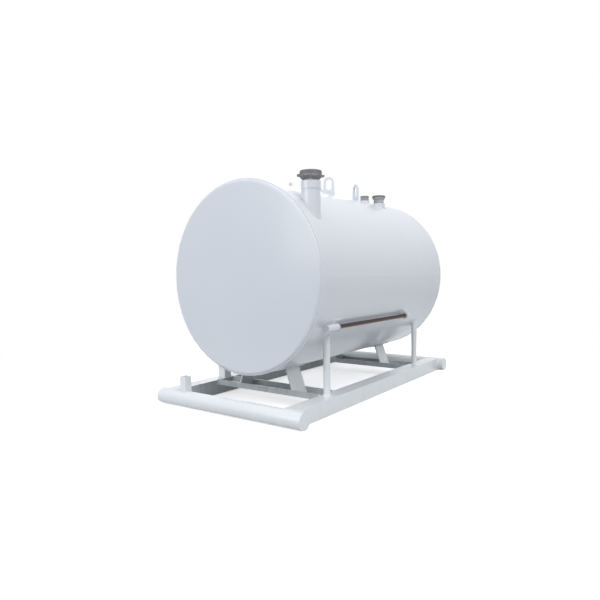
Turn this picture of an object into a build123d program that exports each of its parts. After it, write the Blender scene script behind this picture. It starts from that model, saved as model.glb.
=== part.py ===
"""Skid-mounted horizontal fuel tank: one solid, or one set of like solids, per named node.

Frame: Z up, Y along the tank, the front head at -Y, the flank with the stored rod at +X.
The origin is on the ground under the middle of the skid. All sizes are in millimetres.
"""

import math
import os

from build123d import *

# Tank
tank_radius = 609.6
tank_length = 1780.0
belly_height = 217.4
shell_wall = 4.8
head_wall = 4.8
head_knuckle = 18.0
head_flange = 38.0

# Skid rails and the round pipes across their ends
rail_width = 101.6
rail_height = 101.6
rail_wall = 4.8
rail_tuck = 120.6
pipe_radius = 50.8
pipe_wall = 5.7
pipe_setout = 142.0
pipe_overhang = 47.0
end_plate = 4.0

# Cross channels between the rails
channel_width = 150.0
channel_height = 38.0
channel_wall = 6.0
channel_lift = 70.0
channel_setback = 290.0

# Saddle legs from channel to shell
leg_gap = 0.5
leg_wall = 10.0
leg_foot_x = 235.0
leg_lean = 20.0
saddle_wall = 6.0
saddle_half_angle = 22.0

# Pipe posts on the right rail and square posts on the left one
post_radius = 21.1
post_wall = 3.6
post_setback = 245.0
post_inset = 16.0
square_post_size = 63.5
square_post_wall = 4.8
square_post_setback = 322.0
square_post_inset = 2.0

# Side rod with its two sockets and their pads
rod_radius = 13.5
rod_angle = 28.1
rod_standoff = 25.2
rod_setback = 128.0
rod_length = 1083.0
socket_radius = 22.0
front_socket_length = 120.0
rear_socket_length = 50.0
socket_end = 14.0
socket_rim = 3.0
socket_rim_length = 5.0
rod_clearance = 1.0
pad_wall = 5.0
pad_rise = 44.0
pad_drop = 20.0
pad_length = 110.0
rear_pad_length = 70.0
pad_start = 76.0

# Riser with its screwed collar and cap
riser_angle = 46.9
riser_setback = 142.0
riser_radius = 57.15
riser_wall = 6.0
riser_length = 99.4
collar_wall = 9.35
collar_height = 46.0
cap_radius = 66.0
cap_height = 47.0
cap_cone = 14.0
cap_wall = 4.0
cap_round = 6.0
ear_reach = 82.0
ear_width = 26.0
ear_height = 12.0
ear_lift = 2.0

# Plug and vent on the crown
plug_angle = 13.8
plug_setback = 463.0
plug_radius = 31.0
plug_height = 38.0
plug_chamfer = 4.0
plug_collar_wall = 6.0
plug_collar_height = 10.0
vent_angle = 23.2
vent_setback = 400.0
vent_collar_radius = 49.0
vent_collar_height = 16.0
vent_neck_radius = 38.0
vent_neck_height = 32.0
vent_cap_radius = 51.0
vent_cap_height = 32.0
vent_cap_round = 9.0
vent_wall = 5.0

# Lifting lugs
lug_angle = 16.2
lug_middle_y = 55.5
lug_pitch = 381.0
lug_width = 88.0
lug_top_radius = 36.0
lug_height = 122.0
lug_root = 25.0
lug_wall = 12.0
lug_slot_width = 40.0
lug_slot_height = 76.0
lug_turn = 30.0

# Open socket on the front pipe
well_size = 50.0
well_wall = 4.0
well_height = 97.0
well_setin = 226.0

half_length = tank_length / 2
axis_height = belly_height + tank_radius
rail_x = tank_radius - rail_tuck
rail_inner = rail_x - rail_width / 2
pipe_y = half_length + pipe_setout
pipe_reach = rail_x + rail_width / 2 + pipe_overhang
channel_y = half_length - channel_setback
leg_width = channel_width - 2 * channel_wall - 2 * leg_gap
post_x = rail_inner + post_inset + post_radius
post_y = half_length - post_setback
square_post_x = rail_inner + square_post_inset + square_post_size / 2
square_post_y = half_length - square_post_setback
rod_x = (tank_radius + rod_standoff) * math.cos(math.radians(rod_angle))
rod_height = axis_height - (tank_radius + rod_standoff) * math.sin(math.radians(rod_angle))
rod_front_y = rod_setback - half_length
rod_rear_y = rod_front_y + rod_length
riser_x = tank_radius * math.sin(math.radians(riser_angle))
riser_y = riser_setback - half_length
plug_x = tank_radius * math.sin(math.radians(plug_angle))
plug_y = half_length - plug_setback
vent_x = tank_radius * math.sin(math.radians(vent_angle))
vent_y = half_length - vent_setback
lug_x = tank_radius * math.sin(math.radians(lug_angle))
well_x = well_setin - pipe_reach

# How far a cutting or coped body runs on past what it meets.
past = 1.0


def write(shape, name):
    """Save one node as its own STEP file."""
    export_step(shape, f"parts/{name}.step")


def box(x0, x1, y0, y1, z0, z1):
    """A box given by its six faces."""
    size = Box(x1 - x0, y1 - y0, z1 - z0)
    return Pos((x0 + x1) / 2, (y0 + y1) / 2, (z0 + z1) / 2) * size


def along_y(radius, y0, y1, x=0.0, z=0.0):
    """A solid bar along Y."""
    return Pos(x, (y0 + y1) / 2, z) * Rot(90, 0, 0) * Cylinder(radius, y1 - y0)


def along_x(radius, x0, x1, y=0.0, z=0.0):
    """A solid bar along X."""
    return Pos((x0 + x1) / 2, y, z) * Rot(0, 90, 0) * Cylinder(radius, x1 - x0)


def upright(radius, z0, z1, x=0.0, y=0.0):
    """A solid bar along Z."""
    return Pos(x, y, (z0 + z1) / 2) * Cylinder(radius, z1 - z0)


def largest(shape):
    """The one solid that is kept of a shape that a cope has parted."""
    return max(shape.solids(), key=lambda solid: solid.volume)


def lowest(shape):
    """The one solid that stands under the tank."""
    return min(shape.solids(), key=lambda solid: solid.center().Z)


# The full tank form, used to cope everything that meets the shell.
tank_form = along_y(tank_radius, -half_length, half_length, z=axis_height)


def shell_height(x):
    """Height of the shell's outside at a given x, on the upper half."""
    return axis_height + math.sqrt(tank_radius**2 - x**2)


riser_top = shell_height(riser_x) + riser_length


def make_shell():
    """The rolled shell, a plain tube between the knuckles of the two heads."""
    reach = half_length - head_knuckle
    outer = along_y(tank_radius, -reach, reach, z=axis_height)
    inner = along_y(tank_radius - shell_wall, -reach - past, reach + past, z=axis_height)
    drill = upright(riser_radius - riser_wall, axis_height, riser_top, riser_x, riser_y)
    return outer - inner - drill


def make_head(side):
    """A flat head with a rounded knuckle and a flange that slides inside the shell."""
    rim = tank_radius - shell_wall
    face = half_length
    flat = rim - head_knuckle
    turn = face - head_knuckle
    edge = turn - head_flange
    with BuildPart() as head:
        with BuildSketch(Plane.XY):
            with BuildLine():
                Line((0, face), (flat, face))
                RadiusArc((flat, face), (rim, turn), head_knuckle)
                Line((rim, turn), (rim, edge))
                Line((rim, edge), (rim - head_wall, edge))
                Line((rim - head_wall, edge), (rim - head_wall, turn))
                RadiusArc(
                    (rim - head_wall, turn), (flat, face - head_wall), head_wall - head_knuckle
                )
                Line((flat, face - head_wall), (0, face - head_wall))
                Line((0, face - head_wall), (0, face))
            make_face()
        revolve(axis=Axis.Y)
    shape = Pos(0, 0, axis_height) * head.part
    if side < 0:
        shape = mirror(shape, about=Plane.XZ)
    return shape


def make_end_pipe(side):
    """A round pipe across one end of the skid, open at both ends for its plates."""
    y = side * pipe_y
    reach = pipe_reach - end_plate
    outer = along_x(pipe_radius, -reach, reach, y, pipe_radius)
    bore = along_x(pipe_radius - pipe_wall, -reach - past, reach + past, y, pipe_radius)
    return outer - bore


def make_pipe_plate(side_x, side_y):
    """A round plate that closes one end of a pipe."""
    x = side_x * (pipe_reach - end_plate / 2)
    half = end_plate / 2
    return along_x(pipe_radius, x - half, x + half, side_y * pipe_y, pipe_radius)


def make_rail(side):
    """A rectangular tube along the ground, coped at both ends to the round pipes."""
    x = side * rail_x
    half = rail_width / 2
    outer = box(x - half, x + half, -pipe_y, pipe_y, 0, rail_height)
    inner = box(
        x - half + rail_wall,
        x + half - rail_wall,
        -pipe_y - past,
        pipe_y + past,
        rail_wall,
        rail_height - rail_wall,
    )
    rail = outer - inner
    for end in (-1, 1):
        rail -= along_x(pipe_radius, -pipe_reach, pipe_reach, end * pipe_y, pipe_radius)
    return largest(rail)


def make_channel(side):
    """A channel between the rails with its two flanges up."""
    y = side * channel_y
    half = channel_width / 2
    top = channel_lift + channel_height
    outer = box(-rail_inner, rail_inner, y - half, y + half, channel_lift, top)
    pocket = box(
        -rail_inner - past,
        rail_inner + past,
        y - half + channel_wall,
        y + half - channel_wall,
        channel_lift + channel_wall,
        top + past,
    )
    return outer - pocket


def make_saddle(side):
    """A rolled pad under the shell that the two legs of one channel carry."""
    y = side * channel_y
    half = leg_width / 2
    pad = along_y(tank_radius + saddle_wall, y - half, y + half, z=axis_height) - tank_form
    reach = (tank_radius + saddle_wall) * math.sin(math.radians(saddle_half_angle))
    return pad & box(-reach, reach, y - leg_width, y + leg_width, 0, axis_height)


def make_leg(side_x, side_y):
    """A plate leg that leans out from the saddle to the channel's floor."""
    y = side_y * channel_y
    foot = channel_lift + channel_wall
    rise = axis_height - foot
    shift = rise * math.tan(math.radians(leg_lean))
    half = leg_wall / 2
    with BuildPart() as leg:
        with BuildSketch(Plane.XZ.offset(-(y + leg_width / 2))):
            with BuildLine():
                Polyline(
                    (leg_foot_x - half, foot),
                    (leg_foot_x + half, foot),
                    (leg_foot_x + half - shift, axis_height),
                    (leg_foot_x - half - shift, axis_height),
                    close=True,
                )
            make_face()
        extrude(amount=leg_width)
    cradle = along_y(tank_radius + saddle_wall, y - leg_width, y + leg_width, z=axis_height)
    shape = lowest(leg.part - cradle)
    if side_x < 0:
        shape = mirror(shape, about=Plane.YZ)
    return shape


def make_post(side):
    """A pipe post that stands on the right rail and is coped to the shell at its top."""
    y = side * post_y
    outer = upright(post_radius, rail_height, axis_height, post_x, y)
    bore = upright(post_radius - post_wall, rail_height - past, axis_height + past, post_x, y)
    return lowest(outer - bore - tank_form)


def make_square_post(side):
    """A square tube post that stands on the left rail and is coped to the shell."""
    y = side * square_post_y
    half = square_post_size / 2
    core = half - square_post_wall
    x = -square_post_x
    outer = box(x - half, x + half, y - half, y + half, rail_height, axis_height)
    bore = box(
        x - core, x + core, y - core, y + core, rail_height - past, axis_height + past
    )
    return lowest(outer - bore - tank_form)


def make_lug(side_x, side_y):
    """An upright plate eye on the shell, turned so the slot faces the lifting point."""
    x = side_x * lug_x
    y = lug_middle_y + side_y * lug_pitch / 2
    base = shell_height(lug_x) - lug_root
    top = shell_height(lug_x) + lug_height
    half = lug_width / 2
    crown = top - lug_top_radius
    with BuildPart() as lug:
        with BuildSketch(Plane.XZ.offset(-lug_wall / 2)):
            with BuildLine():
                Polyline((-lug_top_radius, crown), (-half, base), (half, base), (lug_top_radius, crown))
                RadiusArc((-lug_top_radius, crown), (lug_top_radius, crown), lug_top_radius)
            make_face()
            slot_top = top - (lug_top_radius - lug_slot_width / 2)
            with Locations((0, slot_top - lug_slot_height / 2)):
                SlotOverall(lug_slot_height, lug_slot_width, rotation=90, mode=Mode.SUBTRACT)
        extrude(amount=lug_wall)
    turn = -lug_turn * side_x * side_y
    shape = Pos(x, y, 0) * Rot(0, 0, turn) * lug.part
    return largest(shape - tank_form)


def make_riser():
    """The fill riser, an upright pipe coped to the sloping flank of the shell."""
    outer = upright(riser_radius, axis_height, riser_top, riser_x, riser_y)
    bore = upright(
        riser_radius - riser_wall, axis_height - past, riser_top + past, riser_x, riser_y
    )
    return largest(outer - bore - tank_form)


def make_collar():
    """The screwed coupling on top of the riser."""
    bore_radius = riser_radius - riser_wall
    top = riser_top + collar_height
    outer = upright(bore_radius + collar_wall, riser_top, top, riser_x, riser_y)
    return outer - upright(bore_radius, riser_top - past, top + past, riser_x, riser_y)


def make_cap():
    """The closed cap with two ears for a bar."""
    z = riser_top + collar_height
    rim = z + cap_cone
    body = upright(cap_radius, rim, rim + cap_height, riser_x, riser_y)
    body = fillet(body.edges().group_by(Axis.Z)[-1], cap_round)
    neck = Pos(riser_x, riser_y, z + cap_cone / 2) * Cone(riser_radius, cap_radius, cap_cone)
    ears = box(
        riser_x - ear_reach,
        riser_x + ear_reach,
        riser_y - ear_width / 2,
        riser_y + ear_width / 2,
        rim + ear_lift,
        rim + ear_lift + ear_height,
    )
    hollow = upright(
        riser_radius - cap_wall, z - past, rim + cap_height - cap_wall, riser_x, riser_y
    )
    return body + neck + ears - hollow


def crown_collar(radius, height, x, y):
    """A short upright weld-on collar, coped to the crown of the shell."""
    top = shell_height(x) + height
    return largest(upright(radius, shell_height(x + radius) - radius, top, x, y) - tank_form)


def make_plug():
    """The dark screwed plug."""
    z = shell_height(plug_x) + plug_collar_height
    body = upright(plug_radius, z, z + plug_height, plug_x, plug_y)
    return chamfer(body.edges().group_by(Axis.Z)[-1], plug_chamfer)


def make_vent_cap():
    """The hollow mushroom cap on its short neck."""
    z = shell_height(vent_x) + vent_collar_height
    low = z + vent_neck_height
    top = low + vent_cap_height
    neck = upright(vent_neck_radius, z, low, vent_x, vent_y)
    hat = upright(vent_cap_radius, low, top, vent_x, vent_y)
    hat = fillet(hat.edges().group_by(Axis.Z)[-1], vent_cap_round)
    hollow = upright(vent_neck_radius - vent_wall, z - past, top - vent_wall, vent_x, vent_y)
    return neck + hat - hollow


def make_well():
    """The open square socket that stands on the front pipe."""
    half = well_size / 2
    core = half - well_wall
    top = 2 * pipe_radius + well_height
    y = -pipe_y
    outer = box(well_x - half, well_x + half, y - half, y + half, pipe_radius, top)
    bore = box(well_x - core, well_x + core, y - core, y + core, pipe_radius - past, top + past)
    pipe = along_x(pipe_radius, -pipe_reach, pipe_reach, y, pipe_radius)
    return largest(outer - bore - pipe)


def socket_span(side):
    """Where one rod socket starts and ends along the tank."""
    if side < 0:
        start = rod_front_y - socket_end
        return start, start + front_socket_length
    end = rod_rear_y + socket_end
    return end - rear_socket_length, end


def make_rod_socket(side):
    """A short blind pipe socket that holds one end of the rod."""
    start, end = socket_span(side)
    outer = along_y(socket_radius, start, end, rod_x, rod_height)
    bore = rod_radius + rod_clearance
    rim = socket_radius + socket_rim
    if side < 0:
        inner = along_y(bore, rod_front_y, end + past, rod_x, rod_height)
        lip = along_y(rim, end - socket_rim_length, end, rod_x, rod_height)
    else:
        inner = along_y(bore, start - past, rod_rear_y, rod_x, rod_height)
        lip = along_y(rim, start, start + socket_rim_length, rod_x, rod_height)
    return outer + lip - inner - tank_form


def make_pad(side):
    """The rolled pad on the shell that a rod socket is welded to."""
    start, end = socket_span(side)
    if side < 0:
        low, high = start + pad_start, start + pad_start + pad_length
    else:
        low, high = end - rear_pad_length, end
    ring = along_y(tank_radius + pad_wall, low, high, z=axis_height) - tank_form
    patch = ring & box(
        0, tank_radius * 2, low - past, high + past, rod_height - pad_drop, rod_height + pad_rise
    )
    patch -= along_y(socket_radius + socket_rim, start, end, rod_x, rod_height)
    return largest(patch)


def make_rod():
    """The dark round rod stored along the flank."""
    return along_y(rod_radius, rod_front_y, rod_rear_y, rod_x, rod_height)


os.makedirs("parts", exist_ok=True)
write(make_shell(), "tank_shell")
write(make_head(-1), "front_head")
write(make_head(1), "rear_head")
write(make_riser(), "riser_pipe")
write(make_collar(), "riser_collar")
write(make_cap(), "riser_cap")
write(crown_collar(plug_radius + plug_collar_wall, plug_collar_height, plug_x, plug_y), "plug_collar")
write(make_plug(), "pipe_plug")
write(crown_collar(vent_collar_radius, vent_collar_height, vent_x, vent_y), "vent_collar")
write(make_vent_cap(), "vent_cap")
write(make_lug(1, -1), "front_right_lug")
write(make_lug(-1, -1), "front_left_lug")
write(make_lug(1, 1), "rear_right_lug")
write(make_lug(-1, 1), "rear_left_lug")
write(make_rail(1), "right_rail")
write(make_rail(-1), "left_rail")
write(make_end_pipe(-1), "front_cross_pipe")
write(make_end_pipe(1), "rear_cross_pipe")
write(make_pipe_plate(1, -1), "front_right_pipe_plate")
write(make_pipe_plate(-1, -1), "front_left_pipe_plate")
write(make_pipe_plate(1, 1), "rear_right_pipe_plate")
write(make_pipe_plate(-1, 1), "rear_left_pipe_plate")
write(make_channel(-1), "front_channel")
write(make_channel(1), "rear_channel")
write(make_saddle(-1), "front_saddle")
write(make_saddle(1), "rear_saddle")
write(make_leg(1, -1), "front_right_leg")
write(make_leg(-1, -1), "front_left_leg")
write(make_leg(1, 1), "rear_right_leg")
write(make_leg(-1, 1), "rear_left_leg")
write(make_post(-1), "front_right_post")
write(make_post(1), "rear_right_post")
write(make_square_post(-1), "front_left_post")
write(make_square_post(1), "rear_left_post")
write(make_rod_socket(-1), "front_rod_socket")
write(make_rod_socket(1), "rear_rod_socket")
write(make_pad(-1), "front_socket_pad")
write(make_pad(1), "rear_socket_pad")
write(make_rod(), "side_rod")
write(make_well(), "post_socket")
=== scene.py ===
import math

import bpy
from mathutils import Matrix, Vector


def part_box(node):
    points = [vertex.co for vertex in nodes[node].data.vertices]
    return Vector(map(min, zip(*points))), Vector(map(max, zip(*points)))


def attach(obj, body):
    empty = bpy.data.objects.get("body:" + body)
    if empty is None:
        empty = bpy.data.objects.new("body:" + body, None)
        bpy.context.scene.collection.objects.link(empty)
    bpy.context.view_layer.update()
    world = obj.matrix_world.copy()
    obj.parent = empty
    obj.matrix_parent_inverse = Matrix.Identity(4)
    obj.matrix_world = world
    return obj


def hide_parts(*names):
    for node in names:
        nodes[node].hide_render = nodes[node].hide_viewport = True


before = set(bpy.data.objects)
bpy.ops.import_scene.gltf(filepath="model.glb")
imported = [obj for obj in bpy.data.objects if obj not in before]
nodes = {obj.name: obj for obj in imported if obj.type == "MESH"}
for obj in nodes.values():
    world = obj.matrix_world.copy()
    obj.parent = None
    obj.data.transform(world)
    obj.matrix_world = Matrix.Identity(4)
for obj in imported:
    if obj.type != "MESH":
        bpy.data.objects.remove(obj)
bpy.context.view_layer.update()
bpy.ops.object.select_all(action="DESELECT")
print("frame loaded:", len(nodes), "nodes")


# the view: where the camera stands, how it is turned, and its lens
viewpoint = {
    "place": (2.1979, -3.236, 0.8485),
    "yaw": 0.6142,
    "pitch": 0.0552,
    "roll": -0.0120,
    "picture": 600,       # pixels along one side
    "focal": 512.84,      # in the same pixels
    "centre": (312, 302),
    "sensor": 36,
}


def setCamera(view):
    yaw, pitch, roll = view["yaw"], view["pitch"], view["roll"]
    picture = view["picture"]
    middleX, middleY = view["centre"]
    ahead = Vector((-math.sin(yaw) * math.cos(pitch), math.cos(yaw) * math.cos(pitch), -math.sin(pitch)))
    level = Vector((math.cos(yaw), math.sin(yaw), 0))
    above = level.cross(ahead)
    right = level * math.cos(roll) + above * math.sin(roll)
    up = above * math.cos(roll) - level * math.sin(roll)
    bpy.ops.object.camera_add(location=view["place"])
    camera = bpy.context.object
    camera.name = "camera"
    turn = Matrix((right, up, -ahead)).transposed().to_4x4()
    camera.matrix_world = Matrix.Translation(view["place"]) @ turn
    camera.data.sensor_width = view["sensor"]
    camera.data.lens = view["focal"] * view["sensor"] / picture
    camera.data.shift_x = (picture / 2 - middleX) / picture
    camera.data.shift_y = (middleY - picture / 2) / picture
    bpy.context.scene.camera = camera


setCamera(viewpoint)
print("camera set")


# one socket of a material, with sums written as sums
class Tap:
    def __init__(self, tree, socket=None):
        self.tree = tree
        self.socket = socket

    def make(self, kind, settings=None, output=0, **inputs):
        node = self.tree.nodes.new(kind)
        for name, value in (settings or {}).items():
            setattr(node, name, value)
        for name, value in inputs.items():
            numbered = name[0] == "i" and name[1:].isdigit()
            key = int(name[1:]) if numbered else name.replace("_", " ")
            if isinstance(value, Tap):
                self.tree.links.new(value.socket, node.inputs[key])
            elif isinstance(value, (tuple, list)) and node.inputs[key].type == "RGBA":
                node.inputs[key].default_value = (*value, 1)[:4]
            else:
                node.inputs[key].default_value = value
        return Tap(self.tree, node.outputs[output] if len(node.outputs) else None)

    def out(self, name):
        return Tap(self.tree, self.socket.node.outputs[name])

    def maths(self, operation, first, second=None):
        given = {"i0": first} if second is None else {"i0": first, "i1": second}
        return self.make("ShaderNodeMath", {"operation": operation}, **given)

    def __add__(self, other):
        return self.maths("ADD", self, other)

    def __radd__(self, other):
        return self.maths("ADD", other, self)

    def __rsub__(self, other):
        return self.maths("SUBTRACT", other, self)

    def __mul__(self, other):
        return self.maths("MULTIPLY", self, other)

    def ramp(self, low, high):
        return self.make("ShaderNodeMapRange", {"interpolation_type": "SMOOTHSTEP"},
                         Value=self, From_Min=low, From_Max=high)

    def mixed(self, factor, first, second):
        return self.make("ShaderNodeMix", {"data_type": "RGBA", "blend_type": "MIX"}, 2,
                         i0=factor, i6=first, i7=second)

    def noise(self, where, scale, detail=3.0, rough=0.5):
        return self.make("ShaderNodeTexNoise", Vector=where, Scale=scale, Detail=detail, Roughness=rough)


def newMaterial(name):
    material = bpy.data.materials.new(name)
    material.use_nodes = True
    tree = material.node_tree
    tree.nodes.clear()
    return material, Tap(tree)


def facingUp(tap):
    normal = tap.make("ShaderNodeNewGeometry").out("Normal")
    return tap.make("ShaderNodeSeparateXYZ", Vector=normal).out("Z")


# the enamels: their colours, then how dirty, how chipped and how wavy each one is
tankWhite = {"paint": (0.728, 0.752, 0.786), "shade": (0.692, 0.718, 0.758),
             "dust": (0.60, 0.59, 0.56), "rust": (0.26, 0.10, 0.035)}
# the skid's darker film colour is partly grime and partly painted shade for the faces under the tank
skidWhite = {"paint": (0.865, 0.888, 0.886), "shade": (0.80, 0.825, 0.825),
             "dust": (0.50, 0.49, 0.46), "filmAndShade": (0.36, 0.39, 0.385), "rust": (0.24, 0.09, 0.03)}
enamel = {
    "tankPaint": {**tankWhite, "dirt": 0.07, "chips": 0.0, "wave": 4.5},
    "headPaint": {**tankWhite, "dirt": 0.04, "chips": 0.0, "wave": 3.2},
    "skidPaint": {**skidWhite, "dirt": 0.22, "chips": 0.01, "wave": 9.0},
    "railPaint": {**skidWhite, "dirt": 0.22, "chips": 0.01, "wave": 9.0},
}

# the road film and painted shade inside the skid: from the rails' inner faces inwards, between the round pipes.
# Its darker colour is partly grime and partly painted shade that stands in for the shadow under the tank.
filmAndShadeReach = {
    "width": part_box("front_channel")[1].x,
    "edge": (0.0006, 0.0016),
    "ends": (0.955, 0.975),
    "top": (0.104, 0.12),
    "least": 0.56,
    "streaks": 0.18,
}


def underTank(axes):
    width, (near, far) = filmAndShadeReach["width"], filmAndShadeReach["edge"]
    sideways, along = (axes.maths("ABSOLUTE", axes.out(axis)) for axis in "XY")
    between = 1 - sideways.ramp(width + near, width + far)
    return between * (1 - along.ramp(*filmAndShadeReach["ends"])) * (1 - axes.out("Z").ramp(*filmAndShadeReach["top"]))


def enamelPaint(name, filmAndShade=False):
    look = enamel[name]
    material, tap = newMaterial(name)
    place = tap.make("ShaderNodeTexCoord").out("Object")
    axes = tap.make("ShaderNodeSeparateXYZ", Vector=place)
    height = axes.out("Z")
    streak = tap.make("ShaderNodeMapping", Vector=place, Scale=(9, 9, 0.8))
    broad = tap.noise(place, 1.7, 2)
    fine = tap.noise(place, 38, 4, 0.6)
    runs = tap.noise(streak, 3.2, 5, 0.62)
    grain = tap.noise(place, 420, 2)
    up = facingUp(tap)

    tone = tap.mixed(broad.ramp(0.35, 0.7) * 0.35, look["paint"], look["shade"])
    washed = runs.ramp(0.52, 0.8) * (1 - height.ramp(0.1, 1.4)) * look["dirt"]
    settled = up.ramp(0.5, 1.0) * fine.ramp(0.5, 0.8) * (look["dirt"] * 0.25)
    splash = (1 - height.ramp(0.0, 0.07)) * fine.ramp(0.4, 0.75) * look["dirt"]
    soil = tap.maths("MINIMUM", washed * 0.5 + settled + splash * 0.9, 0.85)
    tone = tap.mixed(soil, tone, look["dust"])
    # painted shade: the film colour, partly grime, darkens the skid's inner faces under the tank
    if filmAndShade:
        filmAndShadeCover = underTank(axes) * (filmAndShadeReach["least"] + runs.ramp(0.3, 0.7) * filmAndShadeReach["streaks"])
        tone = tap.mixed(filmAndShadeCover, tone, look["filmAndShade"])
    spots = tap.noise(place, 75, 3, 0.7).ramp(0.76 - look["chips"], 0.79 - look["chips"])
    tone = tap.mixed(spots, tone, look["rust"])

    rough = 0.3 + broad * 0.08 + soil * 0.35 + spots * 0.4
    peel = tap.make("ShaderNodeBump", Height=grain, Strength=0.05, Distance=0.0004)
    swell = tap.noise(place, look["wave"], 1)
    relief = tap.make("ShaderNodeBump", Height=swell, Strength=0.22, Distance=0.004, Normal=peel)
    skin = tap.make("ShaderNodeBsdfPrincipled", Base_Color=tone, Roughness=rough, Normal=relief,
                    Coat_Weight=0.35, Coat_Roughness=0.12)
    tap.make("ShaderNodeOutputMaterial", Surface=skin)


# the irons: a rim colour starts this far below the top of the node it is for
ironwork = {
    "riserIron": {"node": "riser_cap", "rimDepth": 0.026, "rim": (0.16, 0.157, 0.165),
                  "dark": (0.195, 0.192, 0.200), "light": (0.37, 0.368, 0.375), "rough": 0.5, "metal": 0.35},
    "plugIron": {"node": "pipe_plug", "rimDepth": 0.012, "rim": (0.25, 0.255, 0.26),
                 "dark": (0.31, 0.318, 0.322), "light": (0.46, 0.468, 0.47), "rough": 0.5, "metal": 0.35},
    "ventIron": {"node": "vent_cap", "rimDepth": 0.016, "rim": (0.165, 0.165, 0.17),
                 "dark": (0.37, 0.378, 0.38), "light": (0.52, 0.528, 0.53), "rough": 0.5, "metal": 0.35},
}


def castIron(name):
    look = ironwork[name]
    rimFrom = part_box(look["node"])[1].z - look["rimDepth"]
    material, tap = newMaterial(name)
    place = tap.make("ShaderNodeTexCoord").out("Object")
    height = tap.make("ShaderNodeSeparateXYZ", Vector=place).out("Z")
    patch = tap.noise(place, 26, 5, 0.6)
    grit = tap.noise(place, 900, 3)
    tone = tap.mixed(patch.ramp(0.42, 0.7), look["dark"], look["light"])
    tone = tap.mixed(height.ramp(rimFrom - 0.002, rimFrom + 0.002), tone, look["rim"])
    pits = tap.make("ShaderNodeBump", Height=grit + patch, Strength=0.25, Distance=0.0008)
    skin = tap.make("ShaderNodeBsdfPrincipled", Base_Color=tone, Roughness=look["rough"] + patch * 0.2,
                    Metallic=look["metal"], Normal=pits)
    tap.make("ShaderNodeOutputMaterial", Surface=skin)


# the stored rod: dark above, browner on its underside
rodSteel = {"dark": (0.028, 0.021, 0.020), "brown": (0.46, 0.235, 0.125), "rough": 0.55, "metal": 0.0,
            "turn": (-0.62, -0.30), "under": 0.85, "patches": 0.12}


def rodIron(name):
    material, tap = newMaterial(name)
    place = tap.make("ShaderNodeTexCoord").out("Object")
    up = facingUp(tap)
    patch = tap.noise(place, 34, 5, 0.65)
    grit = tap.noise(place, 700, 3)
    brown = (1 - up.ramp(*rodSteel["turn"])) * rodSteel["under"] + patch.ramp(0.58, 0.8) * rodSteel["patches"]
    tone = tap.mixed(tap.maths("MINIMUM", brown, 1.0), rodSteel["dark"], rodSteel["brown"])
    pits = tap.make("ShaderNodeBump", Height=grit + patch, Strength=0.3, Distance=0.0008)
    skin = tap.make("ShaderNodeBsdfPrincipled", Base_Color=tone, Roughness=rodSteel["rough"] + patch * 0.2,
                    Metallic=rodSteel["metal"], Normal=pits)
    tap.make("ShaderNodeOutputMaterial", Surface=skin)


for paint in enamel:
    enamelPaint(paint, filmAndShade=paint == "railPaint")
for iron in ironwork:
    castIron(iron)
rodIron("rodIron")

# which nodes get which finish; the rest of the skid is in skidPaint
finishes = {
    "tankPaint": ["tank_shell", "riser_pipe", "riser_collar", "plug_collar", "vent_collar", "front_right_lug",
                  "front_left_lug", "rear_right_lug", "rear_left_lug", "front_rod_socket", "rear_rod_socket",
                  "front_socket_pad", "rear_socket_pad"],
    "headPaint": ["front_head", "rear_head"],
    "railPaint": ["right_rail", "left_rail", "front_channel", "rear_channel"],
    "riserIron": ["riser_cap"],
    "plugIron": ["pipe_plug"],
    "ventIron": ["vent_cap"],
    "rodIron": ["side_rod"],
}
for nodeName, node in nodes.items():
    chosen = next((finish for finish, names in finishes.items() if nodeName in names), "skidPaint")
    for slot in node.material_slots:
        slot.material = bpy.data.materials[chosen]
print("finishes on the CAD nodes")


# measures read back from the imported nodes
def middle(name):
    low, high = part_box(name)
    return (low + high) / 2


def span(name):
    low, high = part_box(name)
    return high - low


tankRadius = span("tank_shell").x / 2
tankAxis = middle("tank_shell").z
shellEnd = span("tank_shell").y / 2


def onShell(x, y, side=1):
    return Vector((x, y, tankAxis + side * math.sqrt(max(tankRadius ** 2 - x ** 2, 0))))


# every weld bead: its usual throat, how closely it is stepped, and its ripples
weld = {"throat": 0.0045, "step": 0.0026, "pitch": 0.0085, "swell": 0.16, "sides": 2,
        "waver": 0.10, "waverTurns": (61, 23)}


# the path again, in steps of equal length
def evenly(path, closed, step):
    corners = [Vector(p) for p in path] + ([Vector(path[0])] if closed else [])
    lengths = [(b - a).length for a, b in zip(corners, corners[1:])]
    count = max(8, round(sum(lengths) / step))
    laid, reached, leg = [], 0.0, 0
    for i in range(count if closed else count + 1):
        want = sum(lengths) * i / count
        while leg < len(lengths) - 1 and reached + lengths[leg] < want:
            reached += lengths[leg]
            leg += 1
        share = (want - reached) / max(lengths[leg], 1e-9)
        laid.append(corners[leg].lerp(corners[leg + 1], min(max(share, 0), 1)))
    return laid


# takes the last edge out of a ring, so that its two ends part
def openRing(ring, count):
    bpy.ops.object.mode_set(mode="EDIT")
    bpy.ops.mesh.select_mode(type="EDGE")
    bpy.ops.mesh.select_all(action="DESELECT")
    bpy.ops.object.mode_set(mode="OBJECT")
    for edge in ring.data.edges:
        edge.select = set(edge.vertices) == {0, count - 1}
    bpy.ops.object.mode_set(mode="EDIT")
    bpy.ops.mesh.delete(type="EDGE_FACE")
    bpy.ops.object.mode_set(mode="OBJECT")


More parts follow.
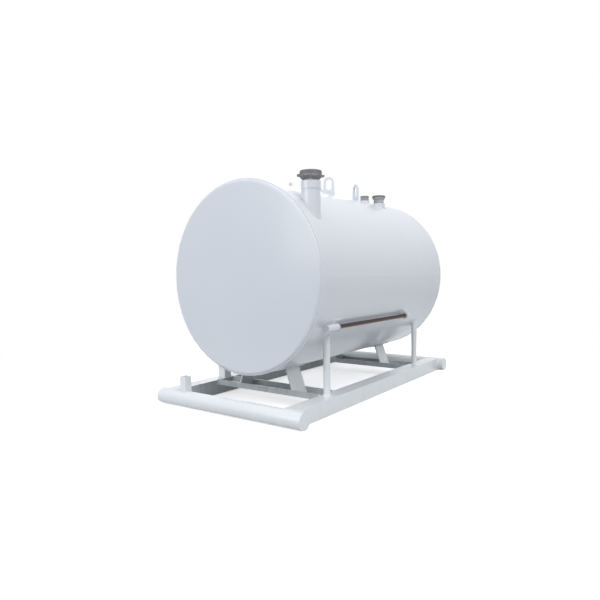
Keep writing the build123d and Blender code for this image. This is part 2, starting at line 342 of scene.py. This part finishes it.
def layWeld(name, path, closed=True, throat=weld["throat"], material="tankPaint"):
    points = evenly(path, closed, weld["step"])
    bpy.ops.mesh.primitive_circle_add(vertices=len(points), radius=1, fill_type="NOTHING")
    bead = bpy.context.object
    bead.name = name
    for vertex, point in zip(bead.data.vertices, points):
        vertex.co = point
    if not closed:
        openRing(bead, len(points))
    bpy.ops.object.convert(target="CURVE")
    line = bead.data
    quick, slow = weld["waverTurns"]
    for spline in line.splines:
        for i, point in enumerate(spline.points):
            along = i * weld["step"]
            ripple = weld["swell"] * math.sin(math.tau * along / weld["pitch"])
            waver = weld["waver"] * math.sin(along * quick) * math.sin(along * slow)
            point.radius = 1 + ripple + waver
    line.bevel_depth = throat
    line.bevel_resolution = weld["sides"]
    line.use_fill_caps = True
    bpy.ops.object.convert(target="MESH")
    bpy.ops.object.shade_smooth()
    bead.data.materials.clear()
    bead.data.materials.append(bpy.data.materials[material])
    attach(bead, "root")
    bpy.ops.object.select_all(action="DESELECT")


def skidWeld(name, path, closed=True, throat=weld["throat"]):
    layWeld(name, path, closed, throat, "skidPaint")


# a ring of points round the axis x, y or z
def ringAt(centre, radius, axis, count=96):
    first, second = {"x": (1, 2), "y": (0, 2), "z": (0, 1)}[axis]
    ring = []
    for i in range(count):
        angle = math.tau * i / count
        point = Vector(centre)
        point[first] += radius * math.cos(angle)
        point[second] += radius * math.sin(angle)
        ring.append(point)
    return ring


# an upright rectangle's outline, from its half widths, turned about its own centre
def oblong(centre, wide, deep, angle=0.0, count=10):
    corners = [(-wide, -deep), (wide, -deep), (wide, deep), (-wide, deep)]
    c, s = math.cos(angle), math.sin(angle)
    path = []
    for (ax, ay), (bx, by) in zip(corners, corners[1:] + corners[:1]):
        for i in range(count):
            x = ax + (bx - ax) * i / count
            y = ay + (by - ay) * i / count
            path.append(Vector((centre[0] + x * c - y * s, centre[1] + x * s + y * c, centre[2])))
    return path


# the seams of the two heads
headSeam = {"throat": 0.0052, "past": 0.001, "tuck": 0.003, "points": 240}
for side, label in ((-1, "front"), (1, "rear")):
    centre = (0, side * (shellEnd + headSeam["past"]), tankAxis)
    ring = ringAt(centre, tankRadius - headSeam["tuck"], "y", headSeam["points"])
    layWeld(f"{label}_head_weld", ring, throat=headSeam["throat"])

# the riser and the two collars, where they meet the shell
collarSeam = {"off": 0.001}
for nodeName, label in (("riser_pipe", "riser"), ("plug_collar", "plug_collar"), ("vent_collar", "vent_collar")):
    ring = ringAt(middle(nodeName), span(nodeName).y / 2 + collarSeam["off"], "z")
    layWeld(f"{label}_weld", [onShell(p.x, p.y) for p in ring])

# the feet of the lifting lugs, each turned towards the lifting point
lugFoot = {"wide": 0.0425, "deep": 0.0062, "turn": 30, "liftingPoint": 0.05}
for label in ("front_right", "front_left", "rear_right", "rear_left"):
    seat = middle(f"{label}_lug")
    side = 1 if (seat.x > 0) == (seat.y < lugFoot["liftingPoint"]) else -1
    foot = oblong(seat, lugFoot["wide"], lugFoot["deep"], math.radians(lugFoot["turn"]) * side)
    layWeld(f"{label}_lug_weld", [onShell(p.x, p.y) for p in foot])

# the posts, round on the right rail and square on the left one
postSeam = {"lift": 0.001, "points": 48}
for label, isRound in (("front_right", True), ("rear_right", True), ("front_left", False), ("rear_left", False)):
    seat, half = middle(f"{label}_post"), span(f"{label}_post").y / 2
    foot = (seat.x, seat.y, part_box(f"{label}_post")[0].z + postSeam["lift"])
    if isRound:
        below, above = (ringAt(centre, half, "z", postSeam["points"]) for centre in (foot, seat))
    else:
        below, above = (oblong(centre, half, half) for centre in (foot, seat))
    skidWeld(f"{label}_post_foot_weld", below)
    skidWeld(f"{label}_post_top_weld", [onShell(p.x, p.y, -1) for p in above])

# the saddle plates under the shell
saddle = {"wall": 0.006, "off": 0.001, "clear": 0.0005, "throat": 0.004, "points": 40}


def underArc(radius, y, reach):
    steps = [-reach + 2 * reach * i / saddle["points"] for i in range(saddle["points"] + 1)]
    return [Vector((x, y, tankAxis - math.sqrt(radius ** 2 - x ** 2))) for x in steps]


for label in ("front", "rear"):
    low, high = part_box(f"{label}_saddle")
    there = underArc(tankRadius + saddle["off"], low.y - saddle["clear"], high.x)
    back = underArc(tankRadius + saddle["off"], high.y + saddle["clear"], high.x)
    skidWeld(f"{label}_saddle_weld", there + back[::-1], throat=saddle["throat"])

# the plate legs that lean out from the saddles to the channels
plateLeg = {"wall": 0.010, "lean": 20, "lift": 0.0005, "tries": 4000}


# where a leg's face that stands at this edge meets the saddle
def legTop(edge, foot):
    for i in range(plateLeg["tries"]):
        height = i / plateLeg["tries"]
        x = edge - (height - foot) * math.tan(math.radians(plateLeg["lean"]))
        if math.hypot(x, tankAxis - height) < tankRadius + saddle["wall"]:
            return x, height


for label in ("front_right", "front_left", "rear_right", "rear_left"):
    low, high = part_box(f"{label}_leg")
    side = 1 if high.x > 0 else -1
    footX = max(abs(low.x), abs(high.x))
    for face, edge in (("outer", footX), ("inner", footX - plateLeg["wall"])):
        topX, rise = legTop(edge, low.z)
        for end, x, z in (("foot", edge, low.z + plateLeg["lift"]), ("top", topX, rise)):
            skidWeld(f"{label}_leg_{face}_{end}_weld", [(side * x, low.y, z), (side * x, high.y, z)], False)

# the channels against the rails
channelSeam = {"throat": 0.004}
for label in ("front", "rear"):
    low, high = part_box(f"{label}_channel")
    for side, x in (("right", high.x), ("left", low.x)):
        path = [(x, low.y, high.z), (x, low.y, low.z), (x, high.y, low.z), (x, high.y, high.z)]
        skidWeld(f"{label}_channel_{side}_weld", path, False, channelSeam["throat"])

# the rails against the round pipes, and the plates on the pipes' ends
railSeam = {"throat": 0.004, "start": 0.04, "sweep": 0.74, "points": 24,
            "crownThroat": 0.0035, "crownSink": 0.0012}
plateSeam = {"throat": 0.0028, "tuck": 0.0024}
railTurns = [math.pi * (railSeam["start"] + railSeam["sweep"] * i / railSeam["points"])
             for i in range(railSeam["points"] + 1)]
for end in ("front", "rear"):
    pipe, radius = middle(f"{end}_cross_pipe"), span(f"{end}_cross_pipe").z / 2
    inward = 1 if pipe.y < 0 else -1
    crownZ = pipe.z + radius - railSeam["crownSink"]
    for side in ("right", "left"):
        low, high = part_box(f"{side}_rail")
        for face, x in (("a", low.x), ("b", high.x)):
            path = [(x, pipe.y + inward * radius * math.sin(t), pipe.z + radius * math.cos(t)) for t in railTurns]
            skidWeld(f"{end}_{side}_rail_weld_{face}", path, False, railSeam["throat"])
        crown = [(low.x, pipe.y, crownZ), (high.x, pipe.y, crownZ)]
        skidWeld(f"{end}_{side}_rail_crown_weld", crown, False, railSeam["crownThroat"])
        plateLow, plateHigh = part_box(f"{end}_{side}_pipe_plate")
        seamX = plateLow.x if plateLow.x > 0 else plateHigh.x
        ring = ringAt((seamX, pipe.y, pipe.z), radius - plateSeam["tuck"], "x")
        skidWeld(f"{end}_{side}_plate_weld", ring, throat=plateSeam["throat"])

# the square socket on the front pipe
wellSeam = {"throat": 0.004}
pipe, radius = middle("front_cross_pipe"), span("front_cross_pipe").z / 2
half = span("post_socket").x / 2
aroundWell = [Vector((p.x, p.y, pipe.z + math.sqrt(radius ** 2 - (p.y - pipe.y) ** 2)))
              for p in oblong(middle("post_socket"), half, half)]
skidWeld("post_socket_weld", aroundWell, throat=wellSeam["throat"])

# the rod's sockets on their pads, and the pads on the shell
socketSeam = {"radius": 0.022, "off": 0.0005, "padFace": 0.0055, "inset": 0.002, "throat": 0.004}
padSeam = {"off": 0.0008, "points": 12, "throat": 0.0035}
rod = middle("side_rod")
reach, bulge = tankRadius + socketSeam["padFace"], socketSeam["radius"] + socketSeam["off"]
away = math.hypot(rod.x, rod.z - tankAxis)
rodAngle = math.atan2(rod.z - tankAxis, rod.x)
spread = math.acos((reach ** 2 + away ** 2 - bulge ** 2) / (2 * reach * away))
for label in ("front", "rear"):
    socketLow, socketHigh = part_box(f"{label}_rod_socket")
    padLow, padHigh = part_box(f"{label}_socket_pad")
    start = max(socketLow.y, padLow.y) + socketSeam["inset"]
    stop = min(socketHigh.y, padHigh.y) - socketSeam["inset"]
    for edge, angle in (("upper", rodAngle + spread), ("lower", rodAngle - spread)):
        x, z = reach * math.cos(angle), tankAxis + reach * math.sin(angle)
        layWeld(f"{label}_socket_{edge}_weld", [(x, start, z), (x, stop, z)], False, socketSeam["throat"])
    rises = [padLow.z + (padHigh.z - padLow.z) * i / padSeam["points"] for i in range(padSeam["points"] + 1)]
    flank = [math.sqrt((tankRadius + padSeam["off"]) ** 2 - (z - tankAxis) ** 2) for z in rises]
    there, back = ([(x, y, z) for x, z in zip(flank, rises)] for y in (padLow.y, padHigh.y))
    layWeld(f"{label}_pad_weld", there + back[::-1], throat=padSeam["throat"])
print("welds laid")


# the three caps, turned from a ring that is extruded and scaled, as (radius, height) pairs
caps = {
    "riser_cap": {
        "profile": [(0.050, 0), (0.050, 0.009), (0.053, 0.012), (0.0635, 0.023), (0.0672, 0.027),
                    (0.0672, 0.035), (0.0655, 0.037), (0.0655, 0.055), (0.0635, 0.0600), (0.058, 0.0610),
                    (0.055, 0.0580), (0.015, 0.0575), (0.012, 0.0600), (0.002, 0.0600)],
        "material": "riserIron",
        "ears": {"root": 0.050, "reach": 0.082, "wide": 0.024, "thick": 0.014, "height": 0.0325,
                 "turn": 49, "rounding": 0.0045}},
    "pipe_plug": {
        "profile": [(0.0305, 0), (0.0305, 0.003), (0.034, 0.006), (0.034, 0.012), (0.0315, 0.015),
                    (0.0315, 0.023), (0.0345, 0.026), (0.0345, 0.034), (0.032, 0.037), (0.027, 0.038),
                    (0.024, 0.035), (0.002, 0.035)],
        "material": "plugIron",
        "ears": None},
    "vent_cap": {
        "profile": [(0.0395, 0), (0.0395, 0.028), (0.042, 0.031), (0.0505, 0.044), (0.053, 0.048),
                    (0.053, 0.058), (0.050, 0.0625), (0.044, 0.064), (0.002, 0.0655)],
        "material": "ventIron",
        "ears": None},
}


def turnPiece(name, profile, centre, sides=72):
    radius, height = profile[0]
    bpy.ops.mesh.primitive_circle_add(vertices=sides, radius=radius, fill_type="NGON",
                                      location=(centre.x, centre.y, centre.z + height))
    piece = bpy.context.object
    piece.name = name
    bpy.ops.object.mode_set(mode="EDIT")
    for newRadius, newHeight in profile[1:]:
        bpy.ops.mesh.extrude_region_move(TRANSFORM_OT_translate={"value": (0, 0, newHeight - height)})
        scale = newRadius / radius
        bpy.ops.transform.resize(value=(scale, scale, 1),
                                 center_override=(centre.x, centre.y, centre.z + newHeight))
        radius, height = newRadius, newHeight
    bpy.ops.mesh.select_all(action="SELECT")
    bpy.ops.mesh.normals_make_consistent(inside=False)
    bpy.ops.object.mode_set(mode="OBJECT")
    return piece


def addEar(centre, ears, side):
    angle = math.radians(ears["turn"])
    out = side * (ears["reach"] + ears["root"]) / 2
    place = (centre.x + out * math.cos(angle), centre.y + out * math.sin(angle), centre.z + ears["height"])
    bpy.ops.mesh.primitive_cube_add(size=1, location=place, rotation=(0, 0, angle),
                                    scale=(ears["reach"] - ears["root"], ears["wide"], ears["thick"]))
    ear = bpy.context.object
    bpy.ops.object.transform_apply(location=False, rotation=False, scale=True)
    rounding = ear.modifiers.new("rounded ends", "BEVEL")
    rounding.width = ears["rounding"]
    rounding.segments = 3
    bpy.ops.object.modifier_apply(modifier=rounding.name)
    return ear


for nodeName, form in caps.items():
    low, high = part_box(nodeName)
    centre = Vector(((low.x + high.x) / 2, (low.y + high.y) / 2, low.z))
    bpy.ops.object.select_all(action="DESELECT")
    cap = turnPiece(f"{nodeName}_turned", form["profile"], centre)
    if form["ears"]:
        for part in [addEar(centre, form["ears"], side) for side in (-1, 1)] + [cap]:
            part.select_set(True)
        bpy.context.view_layer.objects.active = cap
        bpy.ops.object.join()
    bpy.ops.object.transform_apply(location=True, rotation=True, scale=True)
    bpy.ops.object.shade_smooth_by_angle(angle=math.radians(35))
    cap.data.materials.append(bpy.data.materials[form["material"]])
    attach(cap, "root")
    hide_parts(nodeName)
    bpy.ops.object.select_all(action="DESELECT")
print("caps turned")


# the floor and the room: white where it is seen, dim where it lights the tank
studio = {
    "seen": (0.93, 0.93, 0.93),
    "felt": (0.38, 0.395, 0.41),
    "glow": 0.56,
    "fade": (1.9, 3.6),      # metres from the middle, where the floor turns to plain white
    "sky": (0.83, 0.88, 0.96),
    "skyStrength": 0.50,
    "floorSize": 60,
}


def whenSeen(tap):
    path = tap.make("ShaderNodeLightPath")
    mirrored = tap.maths("MAXIMUM", path.out("Is Glossy Ray"), path.out("Is Transmission Ray"))
    return tap.maths("MAXIMUM", path.out("Is Camera Ray"), mirrored)


def layFloor():
    bpy.ops.mesh.primitive_plane_add(size=studio["floorSize"], location=(0, 0, 0))
    floor = bpy.context.object
    floor.name = "studio_floor"
    material, tap = newMaterial("floorWhite")
    place = tap.make("ShaderNodeTexCoord").out("Object")
    far = tap.make("ShaderNodeVectorMath", {"operation": "LENGTH"}, "Value", i0=place).ramp(*studio["fade"])
    matt = tap.make("ShaderNodeBsdfDiffuse", Color=studio["seen"])
    glow = tap.make("ShaderNodeEmission", Color=(1, 1, 1), Strength=studio["glow"])
    near = tap.make("ShaderNodeAddShader", i0=matt, i1=glow)
    white = tap.make("ShaderNodeEmission", Color=(1, 1, 1), Strength=1.0)
    shown = tap.make("ShaderNodeMixShader", i0=far, i1=near, i2=white)
    felt = tap.make("ShaderNodeBsdfDiffuse", Color=studio["felt"])
    surface = tap.make("ShaderNodeMixShader", i0=whenSeen(tap), i1=felt, i2=shown)
    tap.make("ShaderNodeOutputMaterial", Surface=surface)
    floor.data.materials.append(material)


def lightRoom():
    world = bpy.data.worlds.new("studioWorld")
    bpy.context.scene.world = world
    world.use_nodes = True
    world.node_tree.nodes.clear()
    tap = Tap(world.node_tree)
    sky = tap.make("ShaderNodeBackground", Color=studio["sky"], Strength=studio["skyStrength"])
    white = tap.make("ShaderNodeBackground", Color=(1, 1, 1), Strength=1.0)
    surface = tap.make("ShaderNodeMixShader", i0=whenSeen(tap), i1=sky, i2=white)
    tap.make("ShaderNodeOutputWorld", Surface=surface)


lamps = {
    "overhead": {"place": (0.9, -0.1, 5.1), "aim": (0, 0, 0.8),
                 "size": 4.5, "power": 70, "tint": (0.99, 0.995, 1.0)},
    "flank": {"place": (4.6, -1.5, 3.9), "aim": (0, 0, 0.7),
              "size": 3.0, "power": 105, "tint": (0.985, 0.985, 1.0)},
    "back": {"place": (-3.9, 4.4, 3.0), "aim": (0, 0, 0.8),
             "size": 3.2, "power": 52, "tint": (0.98, 0.99, 1.0)},
    "front": {"place": (-1.6, -5.6, 2.6), "aim": (0, 0, 0.8),
              "size": 3.2, "power": 120, "tint": (0.94, 0.97, 1.0)},
}


def addLamps():
    for name, lamp in lamps.items():
        bpy.ops.object.light_add(type="AREA", location=lamp["place"])
        light = bpy.context.object
        light.name = name
        light.data.size = lamp["size"]
        light.data.energy = lamp["power"]
        light.data.color = lamp["tint"]
        towards = Vector(lamp["aim"]) - Vector(lamp["place"])
        light.rotation_euler = towards.to_track_quat("-Z", "Y").to_euler()


layFloor()
lightRoom()
addLamps()
bpy.context.scene.view_settings.view_transform = "Standard"
print("stage and lamps ready")
